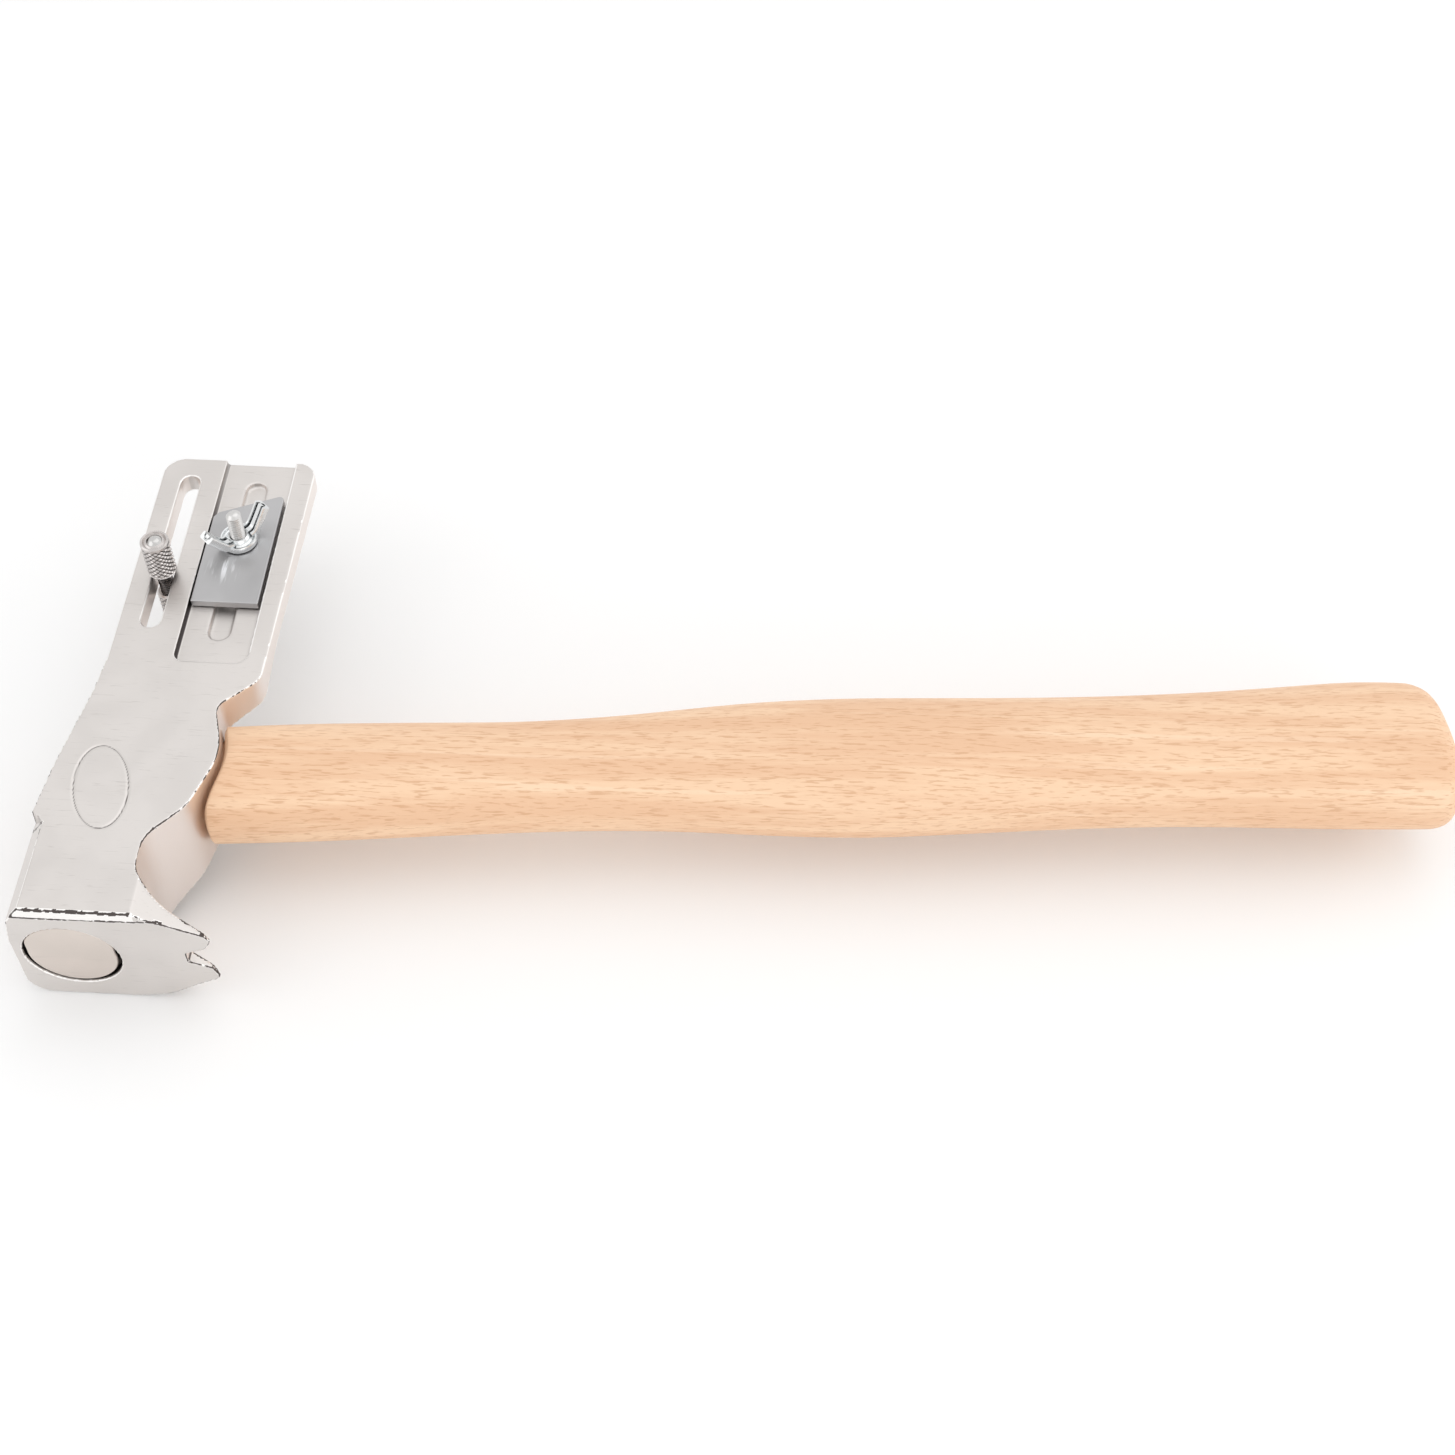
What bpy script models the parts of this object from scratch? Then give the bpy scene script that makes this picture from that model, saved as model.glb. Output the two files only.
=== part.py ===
"""Roofing hatchet: drop-forged head with a gauge pin and a clamped blade, on a wooden handle.

Metres, +Z up. The tool lies on its side with the flat side of the head upwards.
The origin is the centre of the round striking face, which looks along -Y.
+Y runs up the head to its blade end, and +X runs along the handle to its butt.
"""
import math

import bmesh
import bpy
from mathutils import Matrix, Vector

MM = 0.001
GAP = 0.3           # clearance between pieces that touch, in mm like every size below
ARC_STEPS = 6       # straight edges in a rounded corner

# Head
HEAD_LENGTH = 147.8
FLAT_Z = 19.1       # the flat side
PLATE_THICKNESS = 5.7
BODY_BOTTOM_Z = -17.3
EYE_BOTTOM_Z = -6.5
FACE_BEVEL_RUN = 0.3        # the steep bevel along the top of the face
FACE_BEVEL_RISE = 3.0

# Gauge slot and gauge
SLOT_X = 2.9
SLOT_WIDTH = 5.2
SLOT_ENDS_Y = (87.2, 141.3)
GAUGE_Y = 105.5
GAUGE_TOP_Z = 31.9
THREAD_RADIUS = 1.98
NUT_BORE_RADIUS = THREAD_RADIUS + GAP
THUMB_NUT_RADIUS = 3.75
GAUGE_PIN_RADIUS = 3.1
GAUGE_PIN_LENGTH = 11.6

# Blade, its seat and its clamp
BLADE_X = 20.75
BLADE_WIDTH = 17.6
BLADE_BOTTOM_Y = 96.0
BLADE_THICKNESS = 2.1
BOLT_Y = 117.3
SEAT_WIDTH = 18.9
SEAT_DEPTH = 1.6
SEAT_BOTTOM_Y = 76.7
GROOVE_WIDTH = 5.6
GROOVE_DEPTH = 1.4
GROOVE_ENDS_Y = (85.3, 141.1)
TRAVEL = (-15.0, 10.0)      # how far the blade slides in its seat
BOLT_HEAD_SIZE = 7.0
BOLT_HEAD_THICKNESS = 2.1
REAR_GROOVE_DEPTH = 1.2
BOLT_TOP_Z = 30.7
WING_ANGLE = 46.0

# Striking face insert
INSERT_RADIUS = 10.8
INSERT_SEAT_RADIUS = 11.8
INSERT_LIP_DEPTH = 2.0
INSERT_DEPTH = 6.0

# Handle
HANDLE_TILT = 5.3
HANDLE_Z = 5.7
EYE_X = 28.5
EYE_Y = 48.7
EYE_WIDTH = 22.0
EYE_HEIGHT = 13.0
TENON_END_X = -8.2
BUTT_X = 333.3
BUTT_LEAN = 10.0            # the butt leans more than the handle, from BUTT_LEAN_START on
BUTT_LEAN_START = 300.0
BUTT_EDGE = 5.4             # length of the rounded edge round the butt
WEDGE_LENGTH = 18.0
STEEL_WEDGE_LENGTH = 11.0
STEEL_WEDGE_SPREAD = 5.2
SECTION_SIDES = 28
SECTION_SQUARENESS = 2.35

PLATE_BOTTOM_Z = FLAT_Z - PLATE_THICKNESS
SEAT_FLOOR_Z = FLAT_Z - SEAT_DEPTH
GROOVE_FLOOR_Z = SEAT_FLOOR_Z - GROOVE_DEPTH
BLADE_BASE_Z = SEAT_FLOOR_Z + GAP
BLADE_TOP_Z = BLADE_BASE_Z + BLADE_THICKNESS
WING_BASE_Z = BLADE_TOP_Z + GAP

# Corners of the head seen square on to its flat side: x, y, corner radius
HEAD_PLAN = [
    (-14.4, 0.0, 0.0),
    (-13.2, 22.0, 9.0),
    (-12.1, 28.2, 5.0),
    (-10.4, 43.0, 60.0),
    (-6.4, 65.8, 40.0),
    (-5.3, 77.0, 40.0),
    (-5.3, HEAD_LENGTH, 6.0),
    (36.1, HEAD_LENGTH, 5.0),
    (34.9, 71.6, 6.5),
    (25.4, 62.6, 3.6),
    (29.7, 48.5, 20.0),
    (24.6, 32.2, 14.0),
    (16.0, 22.4, 9.0),
    (16.0, 13.2, 9.0),
    (22.6, 5.4, 20.0),
    (36.6, 0.0, 0.0),
]

# The head seen from the end of the handle: y, z, corner radius
HEAD_SIDE = [
    (-1.0, FLAT_Z, 0.0),
    (-1.0, BODY_BOTTOM_Z - 0.1, 0.0),
    (23.0, -14.6, 20.0),
    (36.0, EYE_BOTTOM_Z, 14.0),
    (56.5, EYE_BOTTOM_Z, 7.0),
    (64.5, 9.0, 5.0),
    (86.0, PLATE_BOTTOM_Z, 30.0),
    (HEAD_LENGTH + 1, PLATE_BOTTOM_Z, 0.0),
    (HEAD_LENGTH + 1, FLAT_Z, 0.0),
]

# The face end and its claw, seen from the front: x, z, corner radius
FACE_OUTLINE = [
    (-8.9, FLAT_Z + 0.01, 0.0),
    (-12.7, 13.8, 2.0),
    (-14.1, 6.0, 20.0),
    (-14.3, -17.4, 6.5),
    (11.0, -17.5, 24.0),
    (20.8, -15.6, 10.0),
    (29.1, -10.1, 10.0),
    (34.9, -6.5, 1.4),
    (33.6, -2.4, 0.9),
    (28.0, 0.0, 0.5),
    (28.1, 3.6, 0.8),
    (33.0, 5.9, 3.0),
    (35.1, 9.2, 1.2),
    (34.0, 11.5, 0.9),
    (17.8, FLAT_Z + 0.01, 0.0),
]
FACE_END_Y = 25.4

# Handle sections: x, centre y, half width, half thickness
HANDLE_SECTIONS = [
    (14.0, 46.8, 14.8, 11.2),
    (28.0, 48.1, 15.2, 11.3),
    (52.0, 50.5, 15.4, 11.2),
    (76.0, 52.8, 14.9, 11.0),
    (101.0, 55.0, 14.3, 10.9),
    (118.0, 56.8, 14.5, 11.0),
    (134.0, 58.6, 15.3, 11.4),
    (150.0, 60.3, 16.7, 12.1),
    (167.0, 61.7, 18.0, 12.9),
    (187.0, 63.2, 18.5, 13.4),
    (207.0, 64.9, 18.0, 13.3),
    (232.0, 67.2, 17.3, 13.0),
    (258.0, 69.6, 17.2, 12.9),
    (280.0, 71.5, 17.9, 13.3),
    (300.0, 73.4, 18.9, 14.0),
    (320.0, 75.3, 19.6, 14.7),
    (BUTT_X - BUTT_EDGE, 76.1, 19.4, 14.6),
    (BUTT_X - 1.6, 76.4, 17.9, 13.2),
    (BUTT_X, 76.5, 15.4, 10.9),
]


def remove_everything():
    for item in list(bpy.data.objects):
        bpy.data.objects.remove(item, do_unlink=True)


def new_collection(name):
    collection = bpy.data.collections.new(name)
    bpy.context.scene.collection.children.link(collection)
    return collection


def new_material(name, colour, roughness, metallic):
    material = bpy.data.materials.new(name)
    material.use_nodes = True
    shader = material.node_tree.nodes["Principled BSDF"]
    shader.inputs["Base Color"].default_value = (*colour, 1.0)
    shader.inputs["Roughness"].default_value = roughness
    shader.inputs["Metallic"].default_value = metallic
    return material


def rounded_outline(corners):
    """Points of a closed outline whose corners (u, v, radius) are turned into arcs."""
    points = []
    count = len(corners)
    for index, (u, v, radius) in enumerate(corners):
        corner = Vector((u, v))
        if radius == 0.0:
            points.append(corner)
            continue
        before = (Vector(corners[index - 1][:2]) - corner).normalized()
        after = (Vector(corners[(index + 1) % count][:2]) - corner).normalized()
        half_angle = before.angle(after) / 2
        reach = radius / math.tan(half_angle)
        centre = corner + (before + after).normalized() * radius / math.sin(half_angle)
        first = corner + before * reach - centre
        last = corner + after * reach - centre
        turn = first.angle_signed(last)
        for step in range(ARC_STEPS + 1):
            angle = -turn * step / ARC_STEPS
            points.append(centre + Matrix.Rotation(angle, 2) @ first)
    return points


def box_corners(low_u, high_u, low_v, high_v, radius):
    return [(low_u, low_v, radius), (high_u, low_v, radius), (high_u, high_v, radius), (low_u, high_v, radius)]


# Turns that lay an outline's own plane on a plane of the model
PLANES = {
    "XY": Matrix.Identity(4),
    "XZ": Matrix.Rotation(math.pi / 2, 4, "X"),
    "YZ": Matrix.Rotation(math.pi / 2, 4, "Z") @ Matrix.Rotation(math.pi / 2, 4, "X"),
}


def outline_solid(name, outlines, low, high, plane, collection, place=None):
    """Extrude flat outlines (in mm) between two heights (in mm) square to the plane."""
    curve = bpy.data.curves.new(name, "CURVE")
    curve.dimensions = "2D"
    curve.fill_mode = "BOTH"
    curve.extrude = (high - low) / 2 * MM
    for points in outlines:
        spline = curve.splines.new("POLY")
        spline.points.add(len(points) - 1)
        for target, point in zip(spline.points, points):
            target.co = (point[0] * MM, point[1] * MM, 0.0, 1.0)
        spline.use_cyclic_u = True
    guide = bpy.data.objects.new(name + "_guide", curve)
    bpy.context.scene.collection.objects.link(guide)
    middle = (low + high) / 2 * MM
    turn = PLANES[plane]
    height = Matrix.Translation((0, 0, -middle if plane == "XZ" else middle))
    guide.matrix_world = (place or Matrix.Identity(4)) @ turn @ height
    bpy.context.view_layer.update()
    evaluated = guide.evaluated_get(bpy.context.evaluated_depsgraph_get())
    mesh = bpy.data.meshes.new_from_object(evaluated)
    shape = bmesh.new()
    shape.from_mesh(mesh)
    bmesh.ops.remove_doubles(shape, verts=shape.verts, dist=1e-6)
    bmesh.ops.recalc_face_normals(shape, faces=shape.faces)
    shape.to_mesh(mesh)
    shape.free()
    mesh.name = name
    solid = bpy.data.objects.new(name, mesh)
    solid.matrix_world = guide.matrix_world
    collection.objects.link(solid)
    bpy.data.objects.remove(guide, do_unlink=True)
    return solid


def turned_solid(name, profile, sides, collection, location=(0, 0, 0), turn=None):
    """Spin a profile of (radius, height) pairs in mm, listed from the top down, about its own Z."""
    mesh = bpy.data.meshes.new(name)
    shape = bmesh.new()
    points = [shape.verts.new((radius * MM, 0, height * MM)) for radius, height in profile]
    pairs = list(zip(points[:-1], points[1:]))
    if profile[0][0] > 0:
        pairs.append((points[-1], points[0]))
    for first, second in pairs:
        shape.edges.new((first, second))
    shape.to_mesh(mesh)
    shape.free()
    solid = bpy.data.objects.new(name, mesh)
    solid.matrix_world = Matrix.Translation(Vector(location) * MM) @ (turn or Matrix.Identity(4))
    collection.objects.link(solid)
    screw = solid.modifiers.new("turn", "SCREW")
    screw.steps = sides
    screw.render_steps = sides
    screw.use_merge_vertices = True
    screw.merge_threshold = 0.00001
    return solid


def as_cutter(solid):
    solid.hide_render = True
    solid.display_type = "WIRE"
    return solid


def combine(target, other, operation):
    boolean = target.modifiers.new(operation.lower() + "_" + other.name, "BOOLEAN")
    boolean.operation = operation
    boolean.object = as_cutter(other)
    boolean.solver = "EXACT"


def finish(solid, material, smooth_angle=30.0):
    solid.data.materials.clear()
    solid.data.materials.append(material)
    solid.data.shade_smooth()
    solid.data.set_sharp_from_angle(angle=math.radians(smooth_angle))
    return solid


def slot_outline(centre_u, width, low_v, high_v):
    radius = width / 2
    return rounded_outline(box_corners(centre_u - radius, centre_u + radius, low_v, high_v, radius * 0.999))


def handle_frame():
    """Place of the eye: +X up the handle, +Y across the eye, origin where the axis enters the head."""
    return Matrix.Translation((EYE_X * MM, EYE_Y * MM, HANDLE_Z * MM)) @ Matrix.Rotation(
        math.radians(HANDLE_TILT), 4, "Z")


def tenon_start():
    """Where the tenon's end lies along the eye, measured from the mouth of the eye."""
    return (TENON_END_X - EYE_X) / math.cos(math.radians(HANDLE_TILT))


def wooden_wedge_outline(grow):
    start = tenon_start() - grow
    end = tenon_start() + WEDGE_LENGTH + grow
    return [(start, -1.4 - grow), (end, -0.5 - grow), (end, 0.5 + grow), (start, 1.4 + grow)]


def steel_wedge_outline(side, grow):
    start = tenon_start() - grow
    end = tenon_start() + STEEL_WEDGE_LENGTH + grow
    middle = side * STEEL_WEDGE_SPREAD
    return [(start, middle - 0.9 - grow), (end, middle - 0.3 - grow),
            (end, middle + 0.3 + grow), (start, middle + 0.9 + grow)]


def wooden_wedge_solid(name, grow, collection):
    half_width = EYE_WIDTH / 2 - 1.2 + grow
    outline = wooden_wedge_outline(grow)
    return outline_solid(name, [outline], -half_width, half_width, "XZ", collection, handle_frame())


def steel_wedge_solid(name, side, grow, collection):
    half_height = 4.2 + grow
    outline = steel_wedge_outline(side, grow)
    return outline_solid(name, [outline], -half_height, half_height, "XY", collection, handle_frame())


def make_head(parts, cutters, material):
    head = outline_solid("head", [rounded_outline(HEAD_PLAN)], BODY_BOTTOM_Z - 1, FLAT_Z, "XY", parts)
    side = outline_solid("head_side", [rounded_outline(HEAD_SIDE)], -20, 45, "YZ", cutters)
    combine(head, side, "INTERSECT")

    margin = 12
    around = box_corners(-14.4 - margin, 36.6 + margin, BODY_BOTTOM_Z - margin, FLAT_Z + margin, 0.0)
    frame = [[Vector(corner[:2]) for corner in around], rounded_outline(FACE_OUTLINE)]
    combine(head, outline_solid("face_trim", frame, -2, FACE_END_Y, "XZ", cutters), "DIFFERENCE")

    lead = 0.5
    slope = FACE_BEVEL_RUN / FACE_BEVEL_RISE
    edge = [(-lead * slope, FLAT_Z - FACE_BEVEL_RISE - lead), (FACE_BEVEL_RUN + lead * slope, FLAT_Z + lead),
            (-lead, FLAT_Z + lead)]
    combine(head, outline_solid("face_edge", [edge], -14, 19.6, "YZ", cutters), "DIFFERENCE")

    gauge_slot = slot_outline(SLOT_X, SLOT_WIDTH, *SLOT_ENDS_Y)
    combine(head, outline_solid("gauge_slot", [gauge_slot], 5, FLAT_Z + 2, "XY", cutters), "DIFFERENCE")

    low_x = BLADE_X - SEAT_WIDTH / 2
    high_x = BLADE_X + SEAT_WIDTH / 2
    seat = rounded_outline([(low_x, SEAT_BOTTOM_Y, 2.6), (high_x, SEAT_BOTTOM_Y, 3.4),
                            (high_x, HEAD_LENGTH + 3, 0.0), (low_x, HEAD_LENGTH + 3, 0.0)])
    combine(head, outline_solid("blade_seat", [seat], SEAT_FLOOR_Z, FLAT_Z + 2, "XY", cutters), "DIFFERENCE")

    groove = slot_outline(BLADE_X, GROOVE_WIDTH, *GROOVE_ENDS_Y)
    combine(head, outline_solid("guide_groove", [groove], GROOVE_FLOOR_Z, FLAT_Z, "XY", cutters), "DIFFERENCE")

    through = slot_outline(BLADE_X, 2 * NUT_BORE_RADIUS + 0.1, BOLT_Y + TRAVEL[0] - NUT_BORE_RADIUS - GAP,
                           BOLT_Y + TRAVEL[1] + NUT_BORE_RADIUS + GAP)
    combine(head, outline_solid("bolt_slot", [through], 10, FLAT_Z, "XY", cutters), "DIFFERENCE")

    half = BOLT_HEAD_SIZE / 2 + GAP
    rear = rounded_outline(box_corners(BLADE_X - half, BLADE_X + half, BOLT_Y + TRAVEL[0] - half - GAP,
                                       BOLT_Y + TRAVEL[1] + half + GAP, 1.0))
    rear_top = PLATE_BOTTOM_Z + REAR_GROOVE_DEPTH
    combine(head, outline_solid("rear_groove", [rear], 5, rear_top, "XY", cutters), "DIFFERENCE")

    eye = rounded_outline(box_corners(-EYE_WIDTH / 2, EYE_WIDTH / 2, -EYE_HEIGHT / 2, EYE_HEIGHT / 2, 4.5))
    combine(head, outline_solid("eye", [eye], -60, 20, "YZ", cutters, handle_frame()), "DIFFERENCE")

    bore = turned_solid("insert_seat", [(0, 1), (INSERT_SEAT_RADIUS, 1), (INSERT_SEAT_RADIUS, -INSERT_DEPTH - GAP),
                                        (0, -INSERT_DEPTH - GAP)], 48, cutters, turn=face_turn())
    combine(head, bore, "DIFFERENCE")
    return finish(head, material)


def face_turn():
    """Turns a profile's own +Z to -Y, out of the striking face."""
    return Matrix.Rotation(math.pi / 2, 4, "X")


def make_insert(parts, material):
    seat_radius = INSERT_SEAT_RADIUS - GAP
    profile = [(0, 0), (INSERT_RADIUS - 0.5, 0), (INSERT_RADIUS, -0.5), (INSERT_RADIUS, -INSERT_LIP_DEPTH),
               (seat_radius, -INSERT_LIP_DEPTH), (seat_radius, -INSERT_DEPTH), (0, -INSERT_DEPTH)]
    return finish(turned_solid("striking_face_insert", profile, 48, parts, turn=face_turn()), material)


def section_ring(shape, x, centre_y, half_width, half_thickness):
    """One oval ring of the handle, slightly squared, square to the handle's own axis until near the butt."""
    share = min(1.0, max(0.0, (x - BUTT_LEAN_START) / (BUTT_X - BUTT_EDGE - BUTT_LEAN_START)))
    slope = math.tan(math.radians(HANDLE_TILT + (BUTT_LEAN - HANDLE_TILT) * share))
    ring = []
    for index in range(SECTION_SIDES):
        angle = 2 * math.pi * index / SECTION_SIDES
        across = math.copysign(abs(math.cos(angle)) ** (2 / SECTION_SQUARENESS), math.cos(angle))
        upward = math.copysign(abs(math.sin(angle)) ** (2 / SECTION_SQUARENESS), math.sin(angle))
        y = across * half_width
        lean = y * slope
        z = HANDLE_Z + upward * half_thickness
        ring.append(shape.verts.new(((x - lean) * MM, (centre_y + y) * MM, z * MM)))
    return ring


def make_handle(parts, cutters, material):
    mesh = bpy.data.meshes.new("handle")
    shape = bmesh.new()
    rings = [section_ring(shape, *section) for section in HANDLE_SECTIONS]
    for first, second in zip(rings[:-1], rings[1:]):
        for index in range(SECTION_SIDES):
            after = (index + 1) % SECTION_SIDES
            shape.faces.new((first[index], first[after], second[after], second[index]))
    shape.faces.new(rings[0][::-1])
    shape.faces.new(rings[-1])
    bmesh.ops.recalc_face_normals(shape, faces=shape.faces)
    shape.to_mesh(mesh)
    shape.free()
    handle = bpy.data.objects.new("handle", mesh)
    parts.objects.link(handle)

    shoulder = rounded_outline([(x + 2 * GAP, y, radius) for x, y, radius in HEAD_PLAN])
    combine(handle, outline_solid("shoulder", [shoulder], -30, 40, "XY", cutters), "DIFFERENCE")

    half_width = EYE_WIDTH / 2 - GAP
    half_height = EYE_HEIGHT / 2 - GAP
    tenon = rounded_outline(box_corners(-half_width, half_width, -half_height, half_height, 4.2))
    combine(handle, outline_solid("tenon", [tenon], tenon_start(), 12, "YZ", cutters, handle_frame()), "UNION")

    combine(handle, wooden_wedge_solid("wedge_kerf", GAP, cutters), "DIFFERENCE")
    for side in (-1, 1):
        combine(handle, steel_wedge_solid("steel_kerf_%d" % side, side, GAP, cutters), "DIFFERENCE")
    return finish(handle, material, 40.0)


def make_wedges(parts, cutters, wood, steel):
    wedge = wooden_wedge_solid("wooden_wedge", 0.0, parts)
    for number, side in ((1, -1), (2, 1)):
        combine(wedge, steel_wedge_solid("wedge_notch_%d" % number, side, GAP, cutters), "DIFFERENCE")
        finish(steel_wedge_solid("steel_wedge_%d" % number, side, 0.0, parts), steel)
    finish(wedge, wood)


def make_blade(parts, cutters, material):
    low_x = BLADE_X - BLADE_WIDTH / 2
    high_x = BLADE_X + BLADE_WIDTH / 2
    corners = [(low_x, BLADE_BOTTOM_Y, 0.4), (high_x, BLADE_BOTTOM_Y, 0.4), (high_x, 134.9, 1.2),
               (low_x + 1.1, 127.6, 0.5), (low_x, 126.0, 0.5)]
    blade = outline_solid("blade", [rounded_outline(corners)], BLADE_BASE_Z, BLADE_TOP_Z, "XY", parts)
    hole = [(0, 30), (NUT_BORE_RADIUS, 30), (NUT_BORE_RADIUS, 10), (0, 10)]
    combine(blade, turned_solid("blade_hole", hole, 32, cutters, (BLADE_X, BOLT_Y, 0)), "DIFFERENCE")
    return finish(blade, material)


def thread_end(top_z):
    """The rounded end of a threaded rod, as the top of a turned profile."""
    return [(0, top_z), (1.2, top_z - 0.3), (THREAD_RADIUS, top_z - 1.2)]


def make_bolt(parts, cutters, material):
    head_top = PLATE_BOTTOM_Z + REAR_GROOVE_DEPTH - GAP
    half = BOLT_HEAD_SIZE / 2
    head = rounded_outline(box_corners(BLADE_X - half, BLADE_X + half, BOLT_Y - half, BOLT_Y + half, 0.8))
    bolt = outline_solid("blade_bolt", [head], head_top - BOLT_HEAD_THICKNESS, head_top, "XY", parts)
    shank_start = head_top - BOLT_HEAD_THICKNESS / 2
    shank = thread_end(BOLT_TOP_Z) + [(THREAD_RADIUS, shank_start), (0, shank_start)]
    combine(bolt, turned_solid("bolt_shank", shank, 32, cutters, (BLADE_X, BOLT_Y, 0)), "UNION")
    return finish(bolt, material)


def make_wing_nut(parts, cutters, material):
    base = WING_BASE_Z
    hub = [(3.0, base + 3.6), (3.5, base + 3.1), (3.8, base + 1.6), (4.9, base + 0.8), (4.9, base),
           (NUT_BORE_RADIUS, base), (NUT_BORE_RADIUS, base + 3.6)]
    nut = turned_solid("wing_nut", hub, 32, parts, (BLADE_X, BOLT_Y, 0))
    wing = rounded_outline([(3.3, base + 0.9, 0.0), (6.4, base + 1.5, 2.0), (10.0, base + 6.8, 1.2),
                            (8.8, base + 8.9, 0.8), (7.4, base + 7.6, 0.8), (5.4, base + 3.6, 2.0),
                            (3.3, base + 3.0, 0.0)])
    for number, angle in ((1, WING_ANGLE), (2, WING_ANGLE + 180)):
        place = Matrix.Translation((BLADE_X * MM, BOLT_Y * MM, 0)) @ Matrix.Rotation(math.radians(angle), 4, "Z")
        side = outline_solid("wing_%d" % number, [wing], -1.55, 1.55, "XZ", cutters, place)
        combine(nut, side, "UNION")
    return finish(nut, material)


def make_gauge(parts, knurled, steel):
    place = (SLOT_X, GAUGE_Y, 0)
    pin_top = PLATE_BOTTOM_Z - GAP
    pin_base = pin_top - GAUGE_PIN_LENGTH
    stud_base = pin_base + 1.5
    stud = thread_end(GAUGE_TOP_Z + 0.6) + [(THREAD_RADIUS, stud_base), (0, stud_base)]
    finish(turned_solid("gauge_stud", stud, 32, parts, place), steel)

    nut_base = FLAT_Z + GAP
    nut = [(2.9, GAUGE_TOP_Z), (THUMB_NUT_RADIUS, GAUGE_TOP_Z - 0.7), (THUMB_NUT_RADIUS, nut_base + 1.6),
           (2.7, nut_base), (NUT_BORE_RADIUS, nut_base), (NUT_BORE_RADIUS, GAUGE_TOP_Z)]
    finish(turned_solid("gauge_thumb_nut", nut, 40, parts, place), knurled)

    pin = [(0, stud_base - GAP), (NUT_BORE_RADIUS, stud_base - GAP), (NUT_BORE_RADIUS, pin_top),
           (2.7, pin_top), (GAUGE_PIN_RADIUS, pin_top - 0.5), (GAUGE_PIN_RADIUS, pin_base + 0.8),
           (2.3, pin_base), (0, pin_base)]
    finish(turned_solid("gauge_pin", pin, 36, parts, place), knurled)


def main():
    remove_everything()
    parts = new_collection("roofing_hatchet")
    cutters = new_collection("cutters")
    nickel = new_material("nickel_plate", (0.78, 0.75, 0.73), 0.34, 1.0)
    hardened = new_material("hardened_face", (0.72, 0.68, 0.64), 0.42, 1.0)
    beech = new_material("beech", (0.86, 0.62, 0.42), 0.55, 0.0)
    wedge_wood = new_material("wedge_wood", (0.62, 0.42, 0.26), 0.65, 0.0)
    steel = new_material("bright_steel", (0.66, 0.66, 0.66), 0.3, 1.0)
    tool_steel = new_material("blade_steel", (0.43, 0.43, 0.44), 0.38, 1.0)
    zinc = new_material("zinc_plate", (0.74, 0.77, 0.78), 0.22, 1.0)

    make_head(parts, cutters, nickel)
    make_insert(parts, hardened)
    make_handle(parts, cutters, beech)
    make_wedges(parts, cutters, wedge_wood, steel)
    make_blade(parts, cutters, tool_steel)
    make_bolt(parts, cutters, steel)
    make_wing_nut(parts, cutters, zinc)
    make_gauge(parts, steel, steel)


main()
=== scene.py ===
import math
import bmesh
import bpy
from mathutils import Matrix, Vector, noise
from mathutils.bvhtree import BVHTree


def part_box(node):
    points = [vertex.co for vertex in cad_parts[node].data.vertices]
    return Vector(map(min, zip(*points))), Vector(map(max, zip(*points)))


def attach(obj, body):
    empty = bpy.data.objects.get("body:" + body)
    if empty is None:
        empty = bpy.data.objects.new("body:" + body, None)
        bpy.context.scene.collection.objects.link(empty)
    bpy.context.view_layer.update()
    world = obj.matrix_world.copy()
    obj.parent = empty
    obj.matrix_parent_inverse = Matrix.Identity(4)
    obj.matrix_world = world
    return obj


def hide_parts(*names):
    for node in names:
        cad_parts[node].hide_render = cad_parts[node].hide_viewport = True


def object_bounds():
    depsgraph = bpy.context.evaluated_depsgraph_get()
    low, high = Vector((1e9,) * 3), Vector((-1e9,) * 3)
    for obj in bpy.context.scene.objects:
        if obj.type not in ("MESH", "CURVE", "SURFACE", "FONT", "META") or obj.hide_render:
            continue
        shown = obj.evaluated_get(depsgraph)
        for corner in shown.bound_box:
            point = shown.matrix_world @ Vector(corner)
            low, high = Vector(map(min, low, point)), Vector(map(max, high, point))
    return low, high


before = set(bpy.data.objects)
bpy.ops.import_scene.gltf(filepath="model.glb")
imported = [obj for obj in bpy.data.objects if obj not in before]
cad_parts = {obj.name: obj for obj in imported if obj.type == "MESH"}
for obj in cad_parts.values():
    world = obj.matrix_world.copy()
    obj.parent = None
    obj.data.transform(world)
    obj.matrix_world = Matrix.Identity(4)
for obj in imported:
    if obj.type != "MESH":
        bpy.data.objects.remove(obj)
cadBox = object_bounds()
mm = 0.001
fullTurn = 2 * math.pi
scene = bpy.context.scene


def centreOf(node):
    low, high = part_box(node)
    return (low + high) / 2


def nodeTree(node):        # the CAD solid as a tree that rays can be cast at
    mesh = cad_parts[node].data
    return BVHTree.FromPolygons([v.co for v in mesh.vertices], [p.vertices for p in mesh.polygons])


def add(tree, kind, values=None, **settings):
    node = tree.nodes.new("ShaderNode" + kind)
    for name, value in settings.items():
        setattr(node, name, value)
    for name, value in (values or {}).items():
        if isinstance(value, bpy.types.NodeSocket):
            tree.links.new(value, node.inputs[name])
        else:
            node.inputs[name].default_value = value
    return node


def mathNode(tree, operation, *values):
    return add(tree, "Math", dict(enumerate(values)), operation=operation).outputs[0]


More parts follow.
